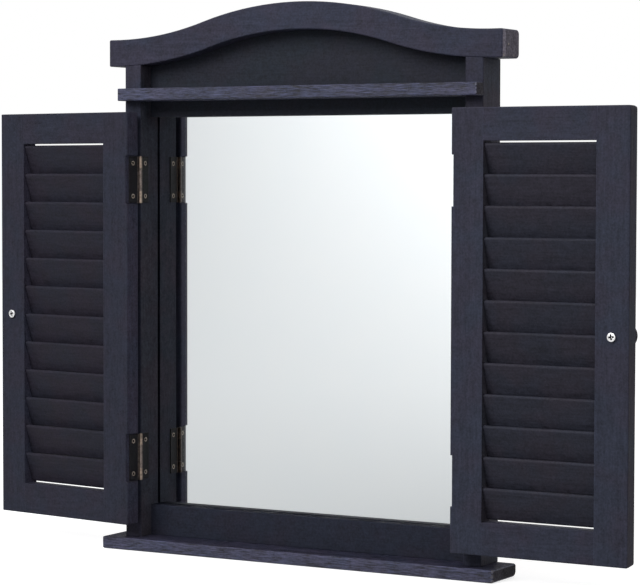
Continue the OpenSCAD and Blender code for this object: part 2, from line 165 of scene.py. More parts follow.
def ratio(tree, a, b):
    return sums(tree, "DIVIDE", a, b)


def ramp(tree, value, low, high, toLow=0.0, toHigh=1.0):
    inputs = {"Value": value, "From Min": low, "From Max": high, "To Min": toLow, "To Max": toHigh}
    return add(tree, "ShaderNodeMapRange", inputs, interpolation_type="SMOOTHSTEP").outputs["Result"]


# a Mix node's socket 0 is its factor, 2 and 3 are numbers, 6 and 7 are colours

def blend(tree, factor, a, b):
    return add(tree, "ShaderNodeMix", {0: factor, 2: a, 3: b}, data_type="FLOAT").outputs[0]


def mixed(tree, factor, a, b, mode="MIX"):
    return add(tree, "ShaderNodeMix", {0: factor, 6: a, 7: b}, data_type="RGBA", blend_type=mode).outputs[2]


def tinted(tree, factor, colour, tint):
    # the colour multiplied by a tint, as far as the factor says
    return mixed(tree, factor, colour, mixed(tree, 1.0, colour, tint + (1,), "MULTIPLY"))


def noise(tree, vector, scale, detail=3.0, rough=0.55, bend=0.0):
    inputs = {"Vector": vector, "Scale": scale, "Detail": detail, "Roughness": rough, "Distortion": bend}
    return add(tree, "ShaderNodeTexNoise", inputs).outputs["Fac"]


def split(tree, vector):
    return add(tree, "ShaderNodeSeparateXYZ", {0: vector}).outputs


def joined(tree, x, y, z):
    return add(tree, "ShaderNodeCombineXYZ", {0: x, 1: y, 2: z}).outputs[0]


def vectors(tree, operation, a, b=(0, 0, 0)):
    return add(tree, "ShaderNodeVectorMath", {0: a, 1: b}, operation=operation).outputs[0]


def measure(tree, operation, a, b=(0, 0, 0)):
    return add(tree, "ShaderNodeVectorMath", {0: a, 1: b}, operation=operation).outputs["Value"]


def turned(tree, vector, rotation, kind="POINT"):
    inputs = {"Vector": vector, "Rotation": rotation}
    return add(tree, "ShaderNodeMapping", inputs, vector_type=kind).outputs[0]


def stretched(tree, vector, scale):
    return add(tree, "ShaderNodeMapping", {"Vector": vector, "Scale": scale}).outputs[0]


def coordinate(tree, kind="Object"):
    return add(tree, "ShaderNodeTexCoord").outputs[kind]


most, core = (0.3, 0.7), (0.35, 0.65)  # most of a noise's values, and their middle part


def towards(tree, facing, low=0.75, high=0.95):
    # 1 on faces that look along an axis, either way, and 0 on those well turned from it
    return ramp(tree, sums(tree, "ABSOLUTE", facing), low, high)


def roundedOver(tree, radius):
    # the normal rounded over the edges, and how well it agrees with the face's own
    rounded = add(tree, "ShaderNodeBevel", {"Radius": radius}, samples=6).outputs[0]
    own = add(tree, "ShaderNodeNewGeometry").outputs["True Normal"]
    return rounded, measure(tree, "DOT_PRODUCT", rounded, own)


def bumped(tree, height, distance, strength, normal=None):
    inputs = {"Height": height, "Distance": distance, "Strength": strength}
    if normal is not None:
        inputs["Normal"] = normal
    return add(tree, "ShaderNodeBump", inputs).outputs[0]


def startMaterial(name):
    material = bpy.data.materials.new(name)
    material.use_nodes = True
    tree = material.node_tree
    tree.nodes.clear()
    shader = add(tree, "ShaderNodeBsdfPrincipled")
    tree.links.new(shader.outputs[0], add(tree, "ShaderNodeOutputMaterial").inputs["Surface"])
    return material, tree, shader


# Painted wood: thin satin paint over straight grain, with open pores where the piece has them,
# a mottled end grain, edges rubbed a little lighter, partly wear and partly a painted highlight,
# painted light and shade on sides, tops and ends, and a few chips.

paint = {
    "edge": 0.0012,  # width of the rubbed edge, partly a painted highlight
    "mottle": (24, 2.0),  # patterns: how many per metre, detail, roughness, bend
    "cloud": (150, 4.0, 0.6),
    "speck": (520, 1.0),
    "blotch": (480, 4.0, 0.7),
    "spot": (240, 1.0),
    "lines": (1.0, 3.0, 0.65, 0.3),  # along the grain, how many as a share of the wood's crossing
    "bands": (1 / 6, 2.0, 0.5, 0.8),
    "pores": (1.7, 2.0, 0.7),
    "hueRange": (0.38, 0.62),  # between which of a pattern's values a change goes, and what it gives
    "poreRange": (0.30, 0.44, 1.0, 0.0),
    "endRange": (0.35, 0.65, 0.6, 1.4),
    "spotRange": (0.70, 0.8, 0.0, 0.8),
    "rubRange": (0.35, 0.62, 0.1),
    "turnRange": (0.99, 0.8),  # how far the normal turns at an edge, as a cosine
    "ragged": 1.6,  # how uneven a chip's outline is, and the share of it that is fully bare
    "chipCore": 0.5,
    "toneShare": 0.55,  # how far the wood's tone covers its cooler and warmer patches
    "lineWeight": 2.0,  # contrasts
    "bandWeight": 0.6,
    "cloudWeight": 1.0,
    "speckWeight": 0.9,
    "poreWeight": 0.5,
    "darkest": 0.15,
    "sideDark": 1.9,  # how far the rub turns to painted shade on an upright's sides, beside an edge
    "bump": (0.0003, 0.6),  # height and strength, and how much of it the clouds give
    "cloudBump": 0.8,
    "endTone": (50, 47, 51),  # tone of the end grain, and how far it covers the wood's own
    "endShare": 0.85,
    "frontLayer": (-0.0300, -0.0280, 1.8, 1.0),  # between which depths an end's brightness changes
    "bareIor": 1.1,  # of ends, sides and tops, which are duller
}
# bare wood where the paint is knocked off: its tone, then where it is, how large and how bare
chips = {
    "crownAcross": ((150, 142, 134), [
        ((0.213, -0.0230, 0.0276), 0.0013, 0.9),
        ((0.213, -0.0330, 0.0165), 0.0026, 0.35),
        ((0.213, -0.0120, 0.0170), 0.0020, 0.25),
    ]),
    "ledgeAcross": ((148, 150, 166), [
        ((0.1936, -0.0496, -0.0088), 0.0015, 0.35),
        ((0.1936, -0.0496, -0.0125), 0.0011, 0.30),
        ((0.1936, -0.0496, -0.0162), 0.0015, 0.25),
    ]),
    "sillAcross": ((144, 140, 138), [
        ((0.2124, -0.0492, -0.4468), 0.0022, 0.24),
        ((0.2122, -0.0490, -0.4518), 0.0024, 0.20),
        ((0.2122, -0.0490, -0.4562), 0.0022, 0.26),
        ((0.2124, -0.0300, -0.4464), 0.0018, 0.18),
    ]),
}
# tone, then its cooler and warmer patches; lines and pores are contrasts, ends is the end grain's
# brightness, partly its own and partly painted light and shade on the end faces, crossing the grain
# lines per metre, stretch how much longer than wide they are, rub how bright the edges are, partly wear
# and partly a painted highlight, sides and tops the painted light on an upright's sides and the painted
# shade on a board's upper face; ior and rough give the paint's sheen
smooth = {"lines": 0.42, "pores": 0.20, "crossing": 400, "stretch": 12, "ior": 1.22, "rough": (0.55, 0.70),
          "ends": 0.9, "rub": 0.7}
duller = {**smooth, "rough": (0.60, 0.75)}
# sides, here and below, is painted light on the side faces
shutterWood = {**smooth, "sides": (1.6, 1.5, 1.4), "pores": 0.22, "ends": 0.85, "crossing": 420,
               "stretch": 13, "rough": (0.56, 0.72)}
openGrain = {**smooth, "ends": 0.50, "stretch": 10, "rough": (0.50, 0.66)}
woods = {
    "crown": {**smooth, "tone": (47, 48, 62), "cool": (43, 48, 63), "warm": (50, 46, 59), "ends": 3.0},
    "post": {**smooth, "tone": (44, 45, 58), "cool": (40, 45, 59), "warm": (47, 43, 55),
             "sides": (1.70, 1.62, 1.32)},
    # the rail and the header have darker tones than the posts: painted shade of their recesses
    "rail": {**duller, "tone": (34, 36, 48), "cool": (31, 36, 48), "warm": (36, 34, 45), "lines": 0.26,
             "crossing": 620, "tops": (0.45, 0.45, 0.5)},
    "header": {**duller, "tone": (35, 38, 47), "cool": (32, 38, 46), "warm": (37, 36, 45), "lines": 0.30,
               "crossing": 560, "stretch": 16},
    "ledge": {**openGrain, "tone": (49, 51, 70), "cool": (45, 49, 70), "warm": (53, 52, 71), "lines": 2.7,
              "pores": 0.9, "crossing": 800, "ior": 1.38},
    "sill": {**openGrain, "tone": (55, 57, 76), "cool": (50, 54, 75), "warm": (59, 56, 75), "lines": 2.4,
             "pores": 0.8, "crossing": 760, "ior": 1.34, "rub": 0.25, "tops": (0.74, 0.70, 0.66)},
    # the left shutter's pieces are darker copies of the right shutter's, and the slats darker than the
    # stiles: painted shade
    "leftStile": {"tone": (39, 40, 52), "cool": (36, 40, 52), "warm": (41, 38, 49), "sides": (2.2, 2.1, 2.0)},
    "rightStile": {"tone": (45, 47, 60), "cool": (42, 47, 60), "warm": (47, 44, 56), "rub": 1.0,
                   "sides": (1.42, 1.30, 1.08)},
    "leftRail": {"tone": (39, 40, 52), "cool": (36, 40, 52), "warm": (42, 38, 49)},
    "rightRail": {"tone": (45, 46, 59), "cool": (41, 46, 59), "warm": (47, 43, 55)},
    "leftSlat": {"tone": (36, 35, 45), "cool": (33, 35, 45), "warm": (39, 34, 43)},
    "rightSlat": {"tone": (42, 42, 52), "cool": (39, 42, 52), "warm": (45, 41, 49)},
    "leftKnob": {"tone": (47, 48, 60), "cool": (43, 47, 58), "warm": (50, 45, 55)},
    "rightKnob": {"tone": (50, 51, 63), "cool": (46, 50, 61), "warm": (53, 48, 58)},
}


def paintedWood(name, wood, along, turn=0.0):
    # along is the grain's axis before the piece is turned by turn degrees about +Z
    material, tree, shader = startMaterial(name)
    upright = along == "z"
    back = (0, 0, math.radians(-turn))
    place = turned(tree, coordinate(tree), back)
    flat = 1 / wood["stretch"]
    fibre = stretched(tree, place, (1, 1, flat) if upright else (flat, 1, 1))
    patterns = ("mottle", "cloud", "speck", "blotch", "spot")
    mottle, cloud, speck, blotch, spot = (noise(tree, place, *paint[key]) for key in patterns)
    lines, bands, pores = (noise(tree, fibre, wood["crossing"] * share, *rest)
                           for share, *rest in (paint["lines"], paint["bands"], paint["pores"]))
    pores = ramp(tree, pores, *paint["poreRange"])
    facing = split(tree, turned(tree, coordinate(tree, "Normal"), back, "NORMAL"))
    ends = towards(tree, facing[2 if upright else 0])
    sides = towards(tree, facing[0])
    tops = towards(tree, facing[2]) if "tops" in wood else 0.0

    # the face of the grain
    colour = mixed(tree, ramp(tree, mottle, *paint["hueRange"]), rgb(*wood["cool"]), rgb(*wood["warm"]))
    colour = mixed(tree, paint["toneShare"], colour, rgb(*wood["tone"]))
    colour = mixed(tree, times(tree, ends, paint["endShare"]), colour, rgb(*paint["endTone"]))
    shade = 1.0
    lineWeight, bandWeight = wood["lines"] * paint["lineWeight"], wood["lines"] * paint["bandWeight"]
    for pattern, weight in ((lines, lineWeight), (bands, bandWeight), (cloud, paint["cloudWeight"]),
                            (speck, paint["speckWeight"])):
        shade = plus(tree, shade, times(tree, minus(tree, pattern, 0.5), weight))
    shade = minus(tree, shade, times(tree, pores, wood["pores"] * paint["poreWeight"]))

    # the cut ends of the grain: blotched, with paler spots where the paint is thin, and brighter
    # in a strip along the front
    endShade = plus(tree, ramp(tree, blotch, *paint["endRange"]), ramp(tree, spot, *paint["spotRange"]))
    endShade = times(tree, endShade, ramp(tree, split(tree, place)[1], *paint["frontLayer"]))
    # the end faces' brightness, set piece by piece: partly the end grain's own, partly painted light and
    # shade
    endShade = times(tree, endShade, wood["ends"])
    shade = blend(tree, ends, shade, endShade)

    # rubbed edges, lighter, partly wear and partly a painted highlight; beside an edge the uprights' sides
    # get painted shade instead
    rounded, meeting = roundedOver(tree, paint["edge"])
    # how far an edge is made lighter: partly wear, partly a painted highlight
    worn = ramp(tree, blotch, *paint["rubRange"], wood["rub"])
    rubbedAndHighlit = times(tree, ramp(tree, meeting, *paint["turnRange"]), worn)
    if upright:
        rubbedAndHighlit = times(tree, rubbedAndHighlit, minus(tree, 1.0, times(tree, sides, paint["sideDark"])))
    shade = sums(tree, "MAXIMUM", plus(tree, shade, rubbedAndHighlit), paint["darkest"])
    colour = mixed(tree, 1.0, colour, joined(tree, shade, shade, shade), "MULTIPLY")
    # painted light: an upright's side faces made brighter, and less blue, than its front
    if upright:
        colour = tinted(tree, sides, colour, wood["sides"])
    # painted shade: the upper face of the rail and of the sill made darker
    if "tops" in wood:
        colour = tinted(tree, tops, colour, wood["tops"])
    chipTone, spots = chips.get(name, (None, []))
    for middle, size, strength in spots:
        off = measure(tree, "DISTANCE", place, middle)
        ragged = plus(tree, off, times(tree, minus(tree, blotch, 0.5), size * paint["ragged"]))
        chipped = ramp(tree, ragged, size * paint["chipCore"], size, strength, 0.0)
        colour = mixed(tree, chipped, colour, rgb(*chipTone))

    bare = sums(tree, "MAXIMUM", sums(tree, "MAXIMUM", ends, sides), tops)
    height = minus(tree, times(tree, lines, lineWeight), times(tree, pores, wood["pores"]))
    height = plus(tree, height, times(tree, cloud, paint["cloudBump"]))
    feed(tree, shader, {
        "Base Color": colour,
        "Roughness": ramp(tree, cloud, *most, *wood["rough"]),
        "IOR": blend(tree, bare, wood["ior"], paint["bareIor"]),
        "Normal": bumped(tree, height, *paint["bump"], rounded),
    })
    return material


# Aged brass: the barrels are bare and dull, the leaves have gone nearly black.

brass = {
    "barrel": (158, 142, 128),  # on the frame, then on the shutters and on the hanger plates
    "dull": (124, 113, 108),
    "plate": (150, 132, 100),
    "rub": (0.62, 0.78),  # the way a barrel's bright side faces: to the middle, to the front
    "rubRange": (0.45, 0.85),
    "unrubbed": (0.16, 0.12, 0.11, 1),
    "leaf": (21, 20, 25),
    "leafEdge": (82, 77, 78),  # worn bright, partly a painted highlight, this far in
    "leafWear": 0.0006,
    "turnRange": (0.99, 0.85),  # as in the paint
    "wearRange": (0.3, 0.7, 0.25, 0.9),
    "patch": (0.72, 1.3),  # brightness of the patches in bare metal and in patina
    "blotch": (330, 4.0, 0.6),  # patterns: how many per metre, detail, roughness
    "fine": (1900, 2.0),
    "barrelR": 0.0036,
    "axis": ((-0.1742, -0.039), (0.1742, -0.039)),  # where the pins stand
    "start": (0.9, 1.15),  # where the patina starts, in barrel radii
    "metal": 0.85,
    "rough": (0.38, 0.56),
    "shine": 0.10,
    "bump": (0.00005, 0.4),  # height and strength
}


def agedBrass(name, bare, patina=1.0):
    # patina says how black the metal goes away from the pins, 0 for not at all
    material, tree, shader = startMaterial(name)
    where = coordinate(tree)
    blotch, fine = noise(tree, where, *brass["blotch"]), noise(tree, where, *brass["fine"])
    darker, paler = brass["patch"]
    colour = mixed(tree, ramp(tree, blotch, *core), rgb(*bare), shaded(bare, darker))
    dark = mixed(tree, ramp(tree, fine, *most), rgb(*brass["leaf"]), shaded(brass["leaf"], paler))
    reach = []  # how far a point lies from each pin
    for x, y in brass["axis"]:
        off = vectors(tree, "SUBTRACT", where, (x, y, 0))
        reach.append(measure(tree, "LENGTH", vectors(tree, "MULTIPLY", off, (1, 1, 0))))
    start, full = (brass["barrelR"] * share for share in brass["start"])
    away = ramp(tree, sums(tree, "MINIMUM", *reach), start, full, 0.0, patina)
    rounded, meeting = roundedOver(tree, brass["leafWear"])
    # the leaves' edges made lighter: partly wear, partly a painted highlight
    worn = times(tree, ramp(tree, meeting, *brass["turnRange"]), ramp(tree, blotch, *brass["wearRange"]))
    colour = mixed(tree, away, colour, mixed(tree, worn, dark, rgb(*brass["leafEdge"])))
    if patina:  # a barrel is bright only on its side towards the front and the middle, darker on the rest
        normal = split(tree, coordinate(tree, "Normal"))
        outward = times(tree, normal[0], sums(tree, "SIGN", split(tree, where)[0]))
        toMiddle, toFront = brass["rub"]
        facing = plus(tree, times(tree, outward, -toMiddle), times(tree, normal[1], -toFront))
        plain = mixed(tree, 1.0, colour, brass["unrubbed"], "MULTIPLY")
        colour = mixed(tree, ramp(tree, facing, *brass["rubRange"]), plain, colour)
    feed(tree, shader, {
        "Base Color": colour,
        "Metallic": times(tree, minus(tree, 1.0, away), brass["metal"]),
        "Roughness": ramp(tree, blotch, *most, *brass["rough"]),
        "Specular IOR Level": brass["shine"],
        "Normal": bumped(tree, fine, *brass["bump"], rounded),
    })
    return material


# Screws: plated steel or brass, with painted shade in the cross recess.

plating = {
    "zinc": ((206, 208, 212), (40, 40, 42), 0.30),  # tone, painted shade of the cross recess, roughness
    "screwBrass": ((178, 165, 150), (18, 16, 16), 0.36),
    "whiteZinc": ((253, 253, 254), (24, 25, 28), 0.30),
    "cloud": (900, 3.0),
    "dull": 0.82,  # how bright the darker patches are, and how much rougher
    "rougher": 0.18,
    "metal": 0.85,
    "shine": 0.5,
}


def screwMetal(name):
    bright, recessShade, rough = plating[name]
    material, tree, shader = startMaterial(name)
    cloud = noise(tree, coordinate(tree), *plating["cloud"])
    recess = add(tree, "ShaderNodeAttribute", attribute_name="recess").outputs["Fac"]
    outsideRecess = sums(tree, "SUBTRACT", 1.0, recess, True)  # 0 in the recess, which is painted dark as shade and doesn't shine
    colour = mixed(tree, ramp(tree, cloud, *most), rgb(*bright), shaded(bright, plating["dull"]))
    feed(tree, shader, {
        "Base Color": mixed(tree, recess, colour, rgb(*recessShade)),
        "Metallic": times(tree, outsideRecess, plating["metal"]),
        "Specular IOR Level": times(tree, outsideRecess, plating["shine"]),
        "Roughness": ramp(tree, cloud, *most, rough, rough + plating["rougher"]),
    })
    return material


# Brown pressed board: matted short fibres, a smooth sheen in patches.

hardboard = {
    "tones": ((104, 74, 50), (142, 106, 74)),
    "patch": (92, 66, 46),
    "patchShare": 0.35,
    "hairs": (900, 3.0, 0.7, 1.5),
    "hairStretch": (1, 1, 0.35),
    "cloud": (30, 3.0),
    "rough": (0.55, 0.75),
    "bump": (0.0001, 0.5),
}


def fibreBoard(name):
    material, tree, shader = startMaterial(name)
    where = coordinate(tree)
    hairs = noise(tree, stretched(tree, where, hardboard["hairStretch"]), *hardboard["hairs"])
    cloud = noise(tree, where, *hardboard["cloud"])
    low, high = hardboard["tones"]
    colour = mixed(tree, ramp(tree, hairs, *most), rgb(*low), rgb(*high))
    patches = times(tree, ramp(tree, cloud, *core), hardboard["patchShare"])
    feed(tree, shader, {
        "Base Color": mixed(tree, patches, colour, rgb(*hardboard["patch"])),
        "Roughness": ramp(tree, cloud, *most, *hardboard["rough"]),
        "Normal": bumped(tree, hairs, *hardboard["bump"]),
    })
    return material


# Pale beech for the dowels.

beech = {
    "tones": ((198, 160, 118), (168, 128, 90)),
    "fibres": (1400, 3.0),
    "fibreStretch": (1, 1, 0.06),
    "rough": (0.5, 0.7),
}


def bareWood(name):
    material, tree, shader = startMaterial(name)
    fibre = noise(tree, stretched(tree, coordinate(tree), beech["fibreStretch"]), *beech["fibres"])
    low, high = beech["tones"]
    feed(tree, shader, {
        "Base Color": mixed(tree, ramp(tree, fibre, *core), rgb(*low), rgb(*high)),
        "Roughness": ramp(tree, fibre, *most, *beech["rough"]),
    })
    return material


# The looking glass: clear glass before silver, both with a trace of haze.

mirrorGlass = {
    "clear": {
        "tones": ((254, 255, 255), (251, 254, 255)),
        "cloud": (14, 2.0),
        "haze": (9, 3.0),
        "rough": (0.45, 0.8, 0.0, 0.012),
        "rest": {"IOR": 1.45, "Transmission Weight": 1.0},
    },
    "silver": {
        "tones": ((240, 242, 243), (238, 241, 243)),
        "cloud": (22, 2.0),
        "haze": (12, 3.0),
        "rough": (0.5, 0.85, 0.0, 0.02),
        "rest": {"Metallic": 1.0},
    },
}


def mirrorLayer(name, layer):
    material, tree, shader = startMaterial(name)
    where = coordinate(tree)
    low, high = layer["tones"]
    feed(tree, shader, {
        "Base Color": mixed(tree, noise(tree, where, *layer["cloud"]), rgb(*low), rgb(*high)),
        "Roughness": ramp(tree, noise(tree, where, *layer["haze"]), *layer["rough"]),
        **layer["rest"],
    })
    return material


finishes = {
    "fibreBoard": fibreBoard("fibreBoard"),
    "bareWood": bareWood("bareWood"),
    "frameBrass": agedBrass("frameBrass", brass["barrel"]),
    "shutterBrass": agedBrass("shutterBrass", brass["dull"]),
    "plateBrass": agedBrass("plateBrass", brass["plate"], 0.0),
    "zinc": screwMetal("zinc"),
    "screwBrass": screwMetal("screwBrass"),
    "whiteZinc": screwMetal("whiteZinc"),
    "clearGlass": mirrorLayer("clearGlass", mirrorGlass["clear"]),
    "silver": mirrorLayer("silver", mirrorGlass["silver"]),
    "postUp": paintedWood("postUp", woods["post"], "z"),
}
for board in ("crown", "rail", "header", "ledge", "sill"):
    finishes[board + "Across"] = paintedWood(board + "Across", woods[board], "x")
lie = {"left": -9.0, "right": -1.0}  # how the open shutters lie, in degrees about +Z
for side in lie:
    for part, along in (("Stile", "z"), ("Rail", "x"), ("Slat", "x"), ("Knob", "x")):
        wood = {**shutterWood, **woods[side + part]}
        finishes[side + part] = paintedWood(side + part, wood, along, lie[side])
print("finishes made:", len(finishes))

finishOfNode = {
    "left_post": "postUp", "right_post": "postUp", "crown": "crownAcross", "bottom_rail": "railAcross",
    "ledge": "ledgeAcross", "sill": "sillAcross", "hanger_plates": "plateBrass",
}
finishOfSlot = {
    "header_paint": "headerAcross", "back_board": "fibreBoard", "dowel_wood": "bareWood", "zinc": "zinc",
    "silvered_glass": "silver", "aged_brass": "frameBrass",
}
partOfSlot = {"shutter_paint": "Rail", "slat_paint": "Slat", "knob_paint": "Knob"}


def finishFor(node):
    slot = slotOf[node]
    if node in finishOfNode:
        return finishes[finishOfNode[node]]
    if node.endswith("shutter_leaves"):
        return finishes["shutterBrass"]
    if slot in finishOfSlot:
        return finishes[finishOfSlot[slot]]
    part = "Stile" if node.endswith("stile") else partOfSlot[slot]
    return finishes[node.split("_")[0] + part]


for name, node in nodes.items():
    node.data.materials.clear()
    node.data.materials.append(finishFor(name))
print("finishes put on the nodes")


# Helpers for meshes.

weld = 1e-6  # metres within which points are one


def openMesh(source):
    work = bmesh.new()
    work.from_mesh(source)
    bmesh.ops.remove_doubles(work, verts=work.verts, dist=weld)
    return work


def closeMesh(work, name):
    mesh = bpy.data.meshes.new(name)
    work.to_mesh(mesh)
    work.free()
    return mesh


def plainMesh(carrier, name):
    # the modifier's result as a plain mesh of its own, the modifier removed
    bpy.context.view_layer.update()
    seen = carrier.evaluated_get(bpy.context.evaluated_depsgraph_get())
    mesh = bpy.data.meshes.new_from_object(seen)
    mesh.name = name
    carrier.modifiers.clear()
    old = carrier.data
    carrier.data = mesh
    bpy.data.meshes.remove(old)


# The crown and the sill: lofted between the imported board's own lines, with their edges rounded over.

loftForm = {
    "stations": 140,
    "round": 6,  # faces in each rounding
    "leastRadius": 0.0004,  # left of a long edge's rounding at the board's end
    "reach": 0.004,  # how far each way a line's slope is taken
}
# radii of the long edges and of the ends; probe is the depth, as a share, where no hole lies
crownForm = {**loftForm, "front": 0.0012, "back": 0.0042, "backTop": 0.0042, "ends": 0.0018, "probe": 0.5,
             "holes": None}
sillForm = {**loftForm, "front": 0.0014, "back": 0.0050, "backTop": 0.0022, "ends": 0.0024, "probe": 0.1,
            "holes": "sill_screws"}


def loftRing(x, lines, depth, inset, lean, form):
    # one section: its points and their normals, lean being how far they turn to the board's end
    (high, highSlope), (low, lowSlope) = lines
    points, normals = [], []
    for corner in range(4):
        atFront, atTop = corner in (0, 3), corner < 2
        radius = form["front" if atFront else "backTop" if atTop else "back"] - inset
        radius = max(radius, form["leastRadius"])
        middleY = -depth + inset + radius if atFront else -inset - radius
        middleZ = high - inset - radius if atTop else low + inset + radius
        slope = highSlope if atTop else lowSlope
        for step in range(form["round"] + 1):
            angle = math.pi - math.pi / 2 * (corner + step / form["round"])
            side, up = math.cos(angle), math.sin(angle)
            points.append((x, middleY + radius * side, middleZ + radius * up))
            normal = Vector((-slope * up, side, up)).normalized() * math.cos(lean)
            normals.append(normal + Vector((math.copysign(math.sin(lean), x), 0, 0)))
    return points, normals


def loftStops(inner, form):
    # where the sections stand, how far each is drawn in, and how far its normals lean
    stops = [(x, 0.0, 0.0) for x in np.linspace(-inner, inner, form["stations"])]
    for step in range(1, form["round"]):
        lean = math.pi / 2 * step / (form["round"] - 1)
        past, inset = form["ends"] * math.sin(lean), form["ends"] * (1 - math.cos(lean))
        stops.append((inner + past, inset, lean))
        stops.insert(0, (-inner - past, inset, lean))
    return stops


def skinOver(work, rings):
    # faces between neighbouring rings and over the two ends
    for one, two in zip(rings, rings[1:]):
        for i in range(len(one)):
            j = (i + 1) % len(one)
            work.faces.new((one[i], one[j], two[j], two[i]))
    work.faces.new(rings[0])
    work.faces.new(rings[-1])
    bmesh.ops.recalc_face_normals(work, faces=work.faces[:])


def buildLoft(node, form):
    low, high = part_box(node)
    work = bmesh.new()
    work.from_mesh(nodes[node].data)
    board = BVHTree.FromBMesh(work)
    work.clear()
    depth, reach, inner = high.y - low.y, form["reach"], high.x - form["ends"]

    def within(x):
        return max(-inner, min(inner, x))

    def line(x, down):
        # the height of the board's upper line, looking down, or of its lower one
        start = Vector((x, low.y + depth * form["probe"], high.z + reach if down else low.z - reach))
        return board.ray_cast(start, Vector((0, 0, -1 if down else 1)))[0].z

    rings, normals = [], []
    for x, inset, lean in loftStops(inner, form):
        near = within(x)
        lines = []
        for down in (True, False):
            before, after = (line(within(near + step), down) for step in (-reach, reach))
            lines.append((line(near, down), (after - before) / (2 * reach)))
        points, facing = loftRing(x, lines, depth, inset, lean, form)
        rings.append([work.verts.new(point) for point in points])
        normals.extend(facing)
    skinOver(work, rings)
    mesh = closeMesh(work, node + "Loft")
    mesh.shade_smooth()
    mesh.normals_split_custom_set_from_vertices(normals)
    mesh.materials.append(finishFor(node))
    piece = newObject(node + "Loft", mesh)
    if form["holes"]:
        cut = piece.modifiers.new("holes", "BOOLEAN")
        cut.object, cut.operation, cut.solver = nodes[form["holes"]], "DIFFERENCE", "EXACT"
        plainMesh(piece, node + "Loft")
    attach(piece, "frame")
    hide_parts(node)
    print(node, "lofted,", len(piece.data.polygons), "faces")


buildLoft("crown", crownForm)
buildLoft("sill", sillForm)


# The shutters' free stiles, their outer corners worn round towards the back.

wearForm = {
    "worn": 0.0045,  # radius at the back; there is none at the front
    "steps": 5,
}


def cutAcross(work, place, normal):
    bmesh.ops.bisect_plane(work, geom=work.verts[:] + work.edges[:] + work.faces[:], dist=weld,
                           plane_co=place, plane_no=normal)


def buildWornStile(node, form):
    side = node.split("_")[0]
    turn = Matrix.Rotation(math.radians(lie[side]), 3, "Z")
    way = -1 if side == "left" else 1
    work = openMesh(nodes[node].data)
    bmesh.ops.rotate(work, verts=work.verts, matrix=turn.inverted())
    outer = max(way * vert.co.x for vert in work.verts)
    front, back = (pick(vert.co.y for vert in work.verts) for pick in (min, max))
    for up in (1, -1):
        end = max(up * vert.co.z for vert in work.verts)
        for step in range(form["steps"] + 1):
            inwards = form["worn"] * (1 - math.sin(math.pi / 2 * step / form["steps"]))
            cutAcross(work, (way * (outer - inwards), 0, 0), (1, 0, 0))
            cutAcross(work, (0, 0, up * (end - inwards)), (0, 0, 1))
        for vert in work.verts:
            radius = form["worn"] * (vert.co.y - front) / (back - front)
            past, over = way * vert.co.x - outer + radius, up * vert.co.z - end + radius
            far = math.hypot(past, over)
            if past > 0 and over > 0 and far > radius:
                vert.co.x = way * (outer - radius + past * radius / far)
                vert.co.z = up * (end - radius + over * radius / far)
    bmesh.ops.rotate(work, verts=work.verts, matrix=turn)
    bmesh.ops.remove_doubles(work, verts=work.verts, dist=weld)
    bmesh.ops.triangulate(work, faces=work.faces[:])
    mesh = closeMesh(work, node + "Worn")
    mesh.materials.append(finishFor(node))
    piece = newObject(node + "Worn", mesh)
    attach(piece, bodyOf[node])
    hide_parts(node)
    print(node, "corners worn,", len(mesh.polygons), "faces")


for name in ("left_free_stile", "right_free_stile"):
    buildWornStile(name, wearForm)


# Wood screws with crossed heads and threaded shanks, in place of the plain ones.

screwForm = {
    "around": 36,  # faces round a head
    "rings": 10,
    "slotWidth": 0.34,  # this and the next four are shares of the head's radius
    "slotReach": 0.62,
    "slotDepth": 0.50,
    "rise": 0.10,  # how far the head's middle stands up
    "depth": 0.55,
    "foot": 0.0,  # the head's width at its foot: 0 for a countersunk one, 1 for a pan head
    "wide": 1.0,  # the head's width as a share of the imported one's
    "turn": 0.0,  # how far every cross is turned, and then how much by chance, in radians
    "spread": 1.5708,
}
leafForm = {**screwForm, "slotWidth": 0.58, "slotReach": 0.78}
panForm = {**screwForm, "around": 48, "rings": 14, "slotWidth": 0.36, "slotReach": 0.70, "slotDepth": 0.42,
           "rise": 0.15, "depth": 0.30, "foot": 1.0, "wide": 0.9, "turn": 0.11, "spread": 0.0}


def looseSolids(mesh):
    # the points of each separate solid in a mesh
    work = openMesh(mesh)
    left = set(work.verts)
    solids = []
    while left:
        front = [left.pop()]
        found = list(front)
        while front:
            for edge in front.pop().link_edges:
                for vert in edge.verts:
                    if vert in left:
                        left.remove(vert)
                        front.append(vert)
                        found.append(vert)
        solids.append(np.array(sorted(tuple(vert.co) for vert in found)))  # sorted, so each run is the same
    work.free()
    return solids


def screwSpots(mesh):
    # head centre, direction out of the head, and sizes of each screw
    spots = []
    for points in looseSolids(mesh):
        middle = points.mean(0)
        spread, axes = np.linalg.eigh(np.cov((points - middle).T))
        odd = 2 if abs(spread[2] - spread[1]) > abs(spread[1] - spread[0]) else 0
        axis = axes[:, odd]
        height = (points - middle) @ axis
        reach = np.linalg.norm(points - middle - np.outer(height, axis), axis=1)
        if reach[height > 0].max() < reach[height < 0].max():
            axis, height = -axis, -height
        head, shank = float(reach.max()), float(np.median(reach[height < 0]))
        spots.append({"place": middle + axis * height.max(), "facing": axis, "head": head,
                      "length": float(height.max() - height.min()),
                      "shank": min(shank, head * shankShape["widest"])})
    return sorted(spots, key=lambda spot: tuple(np.round(spot["place"], 4)))


def drum(tree, around, rings, layers, radius, depth):
    # a closed cylinder, with rings up its side and layers on its ends
    faces = {"Vertices": around, "Side Segments": rings, "Fill Segments": layers}
    sizes = {"Radius": radius, "Depth": depth}
    return add(tree, "GeometryNodeMeshCylinder", {**faces, **sizes}, fill_type="TRIANGLE_FAN").outputs["Mesh"]


